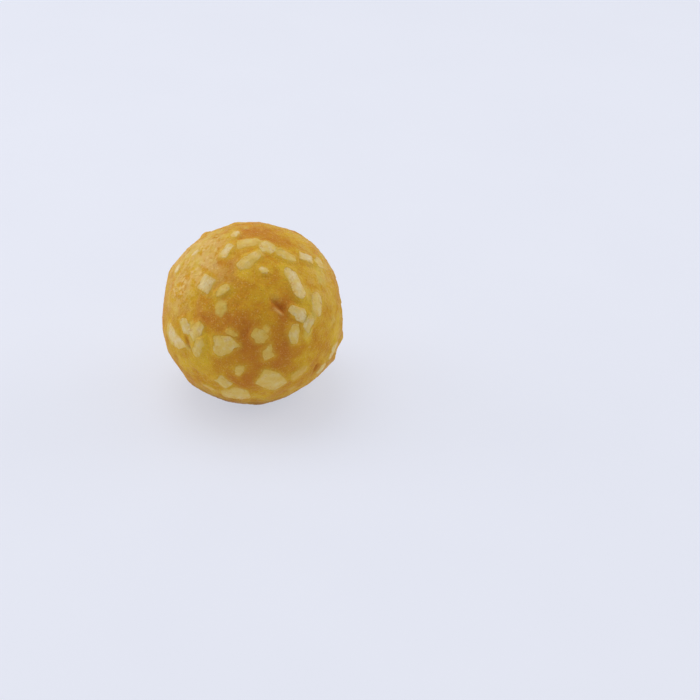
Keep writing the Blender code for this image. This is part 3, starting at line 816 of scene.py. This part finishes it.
class Nodes:
    """Short calls for the nodes of a material or of the world."""

    def __init__(self, tree):
        self.tree = tree
        self.coordinates = tree.nodes.new("ShaderNodeTexCoord").outputs

    def link(self, source, socket):
        """Joins another node's output to a socket, or sets the socket to a fixed value."""
        if isinstance(source, (int, float, tuple)):
            socket.default_value = source
        else:
            self.tree.links.new(source, socket)

    def shade(self, sources):
        """Sets sockets of the material's shader by their names."""
        for label, source in sources.items():
            self.link(source, self.tree.nodes["Principled BSDF"].inputs[label])

    def make(self, kind, output, sources, **settings):
        """A new node with its settings and what goes into it. Returns one of its outputs."""
        node = self.tree.nodes.new("ShaderNode" + kind)
        for label, setting in settings.items():
            setattr(node, label, setting)
        for label, source in sources.items():
            self.link(source, node.inputs[label])
        return node.outputs[output]

    def attribute(self, label, output="Fac"):
        return self.make("Attribute", output, {}, attribute_name=label)

    def add(self, a, b, clamp=False):
        return self.make("Math", 0, {0: a, 1: b}, operation="ADD", use_clamp=clamp)

    def times(self, a, b):
        return self.make("Math", 0, {0: a, 1: b}, operation="MULTIPLY")

    def noise(self, size, detail=2.0, rough=0.5, place=None, distortion=0.0):
        sources = {"Vector": place or self.coordinates["Object"], "Scale": 1 / size}
        sources.update({"Detail": detail, "Roughness": rough, "Distortion": distortion})
        return self.make("TexNoise", "Fac", sources)

    def span(self, value, low, high, to_low=0.0, to_high=1.0):
        """Turns values from low to high into to_low to to_high, softly at both ends."""
        sources = {"Value": value, "From Min": low, "From Max": high, "To Min": to_low, "To Max": to_high}
        return self.make("MapRange", "Result", sources, interpolation_type="SMOOTHSTEP")

    def mix(self, share, a, b):
        return self.make("Mix", "Result", {"Factor": share, "A": a, "B": b}, data_type="RGBA")

    def stain(self, colour, where, most, added_colour):
        """Mixes another colour in where a value from 0 to 1 is high, by a share of at most most."""
        return self.mix(self.times(where, most), colour, added_colour)

    def ramp(self, value, stops):
        """Passes through each stop's colour at the value that it names."""
        node = self.tree.nodes.new("ShaderNodeValToRGB")
        self.link(value, node.inputs["Fac"])
        elements = node.color_ramp.elements
        while len(elements) < len(stops):
            elements.new(0.5)
        for element, stop in zip(elements, stops):
            element.position, element.color = stop
        return node.outputs["Color"]

    def bump(self, height, distance, strength, below=None):
        sources = {"Height": height, "Distance": distance, "Strength": strength}
        if below is not None:
            sources["Normal"] = below
        return self.make("Bump", "Normal", sources)


def new_material(name):
    material = bpy.data.materials.new(name)
    material.use_nodes = True
    return material, Nodes(material.node_tree)


MAWA_BROWN = srgb(193, 121, 37)
MAWA_ORANGE = srgb(206, 150, 34)
MAWA_YELLOW = srgb(219, 178, 46)
# colour of the painted shade in cracks, dimples, the thumb dent and small pits
MAWA_RECESS_SHADE = srgb(190, 108, 36)
# colour of the painted contact shade on the underside
MAWA_UNDERSIDE_SHADE = srgb(100, 54, 16)
# pale peach: paler crumbs and flakes, the painted highlight on the cleft's fold, and partly on grain tops
MAWA_PEACH = srgb(226, 192, 118)
NUT_STAIN = srgb(218, 177, 60)
NUT_SOAKED = srgb(214, 171, 60)
NUT_CREAM = srgb(220, 192, 97)
NUT_WHITE = srgb(224, 206, 156)

TINT_SPAN = 1.1  # tints from minus this, brown, to plus this, yellow
MAWA_MOTTLE = ((1.9 * MM, 1.5), (0.6 * MM, 0.7))  # size, and how much of the tint it changes
HALO_TINT = 0.26  # how much yellower the mass is beside a nut
SPECK_GRAIN = 0.6  # how far pale specks, partly painted highlight, follow the mesh's grains, against noise of their own

# Small marks all over: noise size, detail, roughness, distortion, start, full, strongest share, colour
MAWA_MARKS = (
    (0.33 * MM, 2.0, 0.5, 0.0, 0.56, 0.72, 0.40, MAWA_PEACH),
    # dark specks of painted shade, standing for small pits
    (0.45 * MM, 2.0, 0.5, 0.4, 0.36, 0.26, 0.35, MAWA_RECESS_SHADE),
    (0.80 * MM, 1.0, 0.4, 0.0, 0.66, 0.74, 0.25, MAWA_PEACH),
)

NUT_GRAIN_STRETCH = (0.35, 1.0, 0.37)  # along and across a nut, and from one nut to the next
NUT_CLOUDS = 1.6  # how much the tone changes over a nut
FLOOR_LIGHT = srgb(148, 150, 158)
FLOOR_DARK = srgb(143, 145, 154)
FLOOR_CLOUD = 40 * MM
FLOOR_GLOW = srgb(236, 239, 249)  # the white table is lit a little from below
FLOOR_GLOW_STRENGTH = 0.6


def mawa_tint(nodes):
    """The mesh's slow change of tint, with mottling, and yellower beside the nuts."""
    tint = nodes.attribute("tint")
    for size, strength in MAWA_MOTTLE:
        mottle = nodes.add(nodes.noise(size, detail=3.0, rough=0.6), -0.5)
        tint = nodes.add(tint, nodes.times(mottle, strength))
    tint = nodes.add(tint, nodes.times(nodes.attribute("halo"), HALO_TINT))
    place = nodes.span(tint, -TINT_SPAN, TINT_SPAN)
    return nodes.ramp(place, ((0.0, MAWA_BROWN), (0.5, MAWA_ORANGE), (1.0, MAWA_YELLOW)))


def mawa_crumbs_and_highlight(nodes, colour):
    """Pale specks on the grain tops and pale clouds where the mass is crumbly: partly the crumbs' paler
    colour, partly a painted highlight.
    """
    crumbs = nodes.attribute("crumbs")
    grain = nodes.times(nodes.attribute("grain"), crumbs)
    speck = nodes.add(nodes.times(grain, SPECK_GRAIN), nodes.noise(1.0 * MM))
    # pale peach on the grain tops: partly crumb colour, partly painted highlight
    colour = nodes.stain(colour, nodes.span(speck, 0.82, 1.08), 0.85, MAWA_PEACH)
    cloud = nodes.span(nodes.noise(2.4 * MM, rough=0.6), 0.4, 0.6)
    return nodes.stain(colour, nodes.times(cloud, crumbs), 0.65, MAWA_PEACH)


def mawa_marks(nodes, colour):
    """Fine crumbs, paler flakes, and dark specks of painted shade for small pits."""
    for size, detail, rough, distortion, start, full, most, mark_colour in MAWA_MARKS:
        spots = nodes.noise(size, detail, rough, distortion=distortion)
        colour = nodes.stain(colour, nodes.span(spots, start, full), most, mark_colour)
    return colour


def mawa_stains_and_painted_light(nodes, colour):
    """Pale oil round the nuts and over level ones, a painted highlight on the cleft's fold, and painted
    shade in the cracks, dents and on the underside.
    """
    colour = nodes.stain(colour, nodes.attribute("brim"), 0.45, NUT_SOAKED)
    # painted highlight on the fold and knob beside the cleft
    colour = nodes.stain(colour, nodes.attribute("lip"), 0.7, MAWA_PEACH)
    veil = nodes.span(nodes.noise(1.2 * MM), 0.3, 0.6, to_low=0.6)
    colour = nodes.mix(nodes.times(nodes.attribute("pale"), veil), colour, NUT_CREAM)
    # painted shade in the cracks, dimples and the thumb dent
    colour = nodes.stain(colour, nodes.attribute("deep"), 0.78, MAWA_RECESS_SHADE)
    # painted contact shade on the underside, where the ball meets the table
    return nodes.stain(colour, nodes.attribute("underside"), 0.88, MAWA_UNDERSIDE_SHADE)


def mawa_material():
    """Moist, slightly translucent mawa."""
    material, nodes = new_material("mawa")
    colour = mawa_tint(nodes)
    for layer in (mawa_crumbs_and_highlight, mawa_marks, mawa_stains_and_painted_light):
        colour = layer(nodes, colour)
    gloss = nodes.span(nodes.noise(1.4 * MM, detail=3.0, rough=0.6), 0.3, 0.7, 0.42, 0.64)
    pores = nodes.bump(nodes.noise(0.3 * MM, detail=4.0, rough=0.65), distance=0.16 * MM, strength=0.9)
    cells = {"Vector": nodes.coordinates["Object"], "Scale": 1 / (0.42 * MM)}
    grit = nodes.make("TexVoronoi", "Distance", cells, feature="SMOOTH_F1")
    grit = nodes.bump(grit, distance=-0.22 * MM, strength=0.8, below=pores)
    waves = nodes.noise(1.1 * MM, detail=3.0, rough=0.6)
    nodes.shade({
        "Base Color": colour,
        "Roughness": gloss,
        "IOR": 1.4, "Specular IOR Level": 0.13, "Subsurface Weight": 0.25,
        "Subsurface Radius": (1.0, 0.45, 0.12), "Subsurface Scale": 0.8 * MM,
        "Normal": nodes.bump(waves, distance=0.22 * MM, strength=0.7, below=grit),
    })
    return material


def nut_material():
    """Chopped nut: from soaked golden to nearly white, with mawa smeared over it and worn edges."""
    material, nodes = new_material("nut")
    edge = nodes.attribute("edge")
    place = nodes.attribute("place", "Vector")
    on_nut = nodes.make("VectorMath", "Vector", {0: place, 1: NUT_GRAIN_STRETCH}, operation="MULTIPLY")
    grain = nodes.noise(0.4 * MM, detail=3.0, rough=0.6, place=on_nut)
    cloud = nodes.noise(1.6 * MM)
    patch = nodes.times(nodes.add(cloud, -0.5), NUT_CLOUDS)
    tone = nodes.add(nodes.attribute("tone"), patch, clamp=True)
    colour = nodes.ramp(tone, ((0.0, NUT_SOAKED), (0.55, NUT_CREAM), (1.0, NUT_WHITE)))
    colour = nodes.mix(nodes.span(grain, 0.35, 0.75, 0.4, 0.0), colour, NUT_SOAKED)
    worn = nodes.times(nodes.span(edge, 0.35, 0.95), nodes.span(cloud, 0.3, 0.62, 0.95, 0.35))
    colour = nodes.mix(worn, colour, NUT_STAIN)
    smear = nodes.span(nodes.noise(0.8 * MM, detail=4.0, rough=0.65, distortion=0.6), 0.53, 0.63)
    smear = nodes.times(smear, nodes.span(edge, 0.1, 0.9, 0.25, 0.75))
    colour = nodes.mix(smear, colour, MAWA_ORANGE)
    colour = nodes.mix(nodes.span(edge, EDGE_START, 1.0, 0.0, 0.6), colour, MAWA_YELLOW)
    scratches = nodes.bump(grain, distance=0.05 * MM, strength=0.5)
    chips = nodes.noise(0.8 * MM, detail=4.0, rough=0.6)
    nodes.shade({
        "Base Color": colour,
        "Roughness": nodes.span(grain, 0.3, 0.7, 0.36, 0.5),
        "IOR": 1.46, "Subsurface Weight": 0.35,
        "Subsurface Radius": (1.0, 0.7, 0.35), "Subsurface Scale": 1.2 * MM,
        "Normal": nodes.bump(chips, distance=0.22 * MM, strength=0.6, below=scratches),
    })
    return material


def floor_material():
    """A matt white table."""
    material, nodes = new_material("floor")
    nodes.shade({
        "Base Color": nodes.mix(nodes.noise(FLOOR_CLOUD), FLOOR_DARK, FLOOR_LIGHT),
        "Emission Color": FLOOR_GLOW, "Emission Strength": FLOOR_GLOW_STRENGTH,
        "Roughness": 0.9, "Specular IOR Level": 0.05,
    })
    return material


# ---- floor, lights and camera

FLOOR_RADIUS = 3.0
FLOOR_CORNERS = 96
WORLD_COLOUR = srgb(240, 242, 250)
WORLD_STRENGTH = 0.72
WORLD_SHADE = 0.55  # brightness of the open side, where the photographer stands
OPEN_SIDE = Vector((0.12, -0.90, 0.42)).normalized()
OPEN_SIDE_FADE = (0.15, 0.95)  # how squarely a wall faces it where it starts to darken and where it ends
# Soft lights: name, place and size in metres, power in watts, colour
LIGHTS = (
    ("top", (-0.12, 0.16, 0.62), 0.50, 1.22, (1.0, 0.985, 0.96)),
    ("left", (-0.60, 0.15, 0.28), 0.45, 1.15, (1.0, 0.985, 0.965)),
    ("right", (0.62, 0.20, 0.28), 0.50, 1.05, (1.0, 0.99, 0.98)),
    ("front", (0.05, -0.75, 0.20), 0.80, 0.72, (1.0, 0.98, 0.97)),
)

# The camera's lens and sensor in mm, and where it has the ball's middle in a square picture, in pixels
LENS = 85.0
SENSOR = 36.0
PHOTO_SIZE = 700
BALL_PIXEL = (252.4, 313.3)


def make_floor():
    bpy.ops.mesh.primitive_circle_add(vertices=FLOOR_CORNERS, radius=FLOOR_RADIUS, fill_type="TRIFAN")
    floor = bpy.context.object
    floor.name = "floor"
    floor.data.materials.append(floor_material())


def make_lights():
    for name, place, size, power, colour in LIGHTS:
        lamp = bpy.data.lights.new(name, "AREA")
        lamp.shape = "DISK"
        lamp.size = size
        lamp.energy = power
        lamp.color = colour
        light = bpy.data.objects.new(name, lamp)
        light.location = place
        light.rotation_euler = (CENTRE - Vector(place)).to_track_quat("-Z", "Y").to_euler()
        bpy.context.scene.collection.objects.link(light)


def make_world():
    """Soft white walls all round, darker on the open side."""
    world = bpy.data.worlds.new("studio")
    world.use_nodes = True
    nodes = Nodes(world.node_tree)
    background = world.node_tree.nodes["Background"].inputs
    nodes.link(WORLD_COLOUR, background["Color"])
    sources = {0: nodes.coordinates["Generated"], 1: tuple(OPEN_SIDE)}
    facing = nodes.make("VectorMath", "Value", sources, operation="DOT_PRODUCT")
    strength = nodes.span(facing, *OPEN_SIDE_FADE, WORLD_STRENGTH, WORLD_STRENGTH * WORLD_SHADE)
    nodes.link(strength, background["Strength"])
    bpy.context.scene.world = world


def make_camera():
    """The eye looks down on the ball, turned so that the ball lies where the photograph has it."""
    lens = bpy.data.cameras.new("camera")
    lens.lens = LENS
    lens.sensor_width = SENSOR
    camera = bpy.data.objects.new("camera", lens)
    focal = LENS / SENSOR * PHOTO_SIZE
    right = BALL_PIXEL[0] - PHOTO_SIZE / 2
    above = PHOTO_SIZE / 2 - BALL_PIXEL[1]
    seen = Vector((right, above, -focal)).normalized()
    turn = seen.rotation_difference(Vector((0, 0, -1)))
    level = Matrix((ACROSS, UP, TOWARDS)).transposed()
    eye = Matrix.Translation(CENTRE + TOWARDS * EYE_DISTANCE)
    camera.matrix_world = eye @ (level @ turn.to_matrix()).to_4x4()
    bpy.context.scene.collection.objects.link(camera)
    bpy.context.scene.camera = camera


def main():
    nuts = [face_nut(*nut) for nut in FACE_NUTS]
    nuts += scattered_nuts(nuts)
    mass = make_mass(nuts, mawa_material())
    chips = make_nuts(nuts, nut_material())
    for piece, material_slot in ((mass, "mawa"), (chips, "nut")):
        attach(piece, "root")
        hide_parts("ladoo")
    make_floor()
    make_lights()
    make_world()
    make_camera()
    bpy.context.scene.view_settings.view_transform = "Standard"


main()
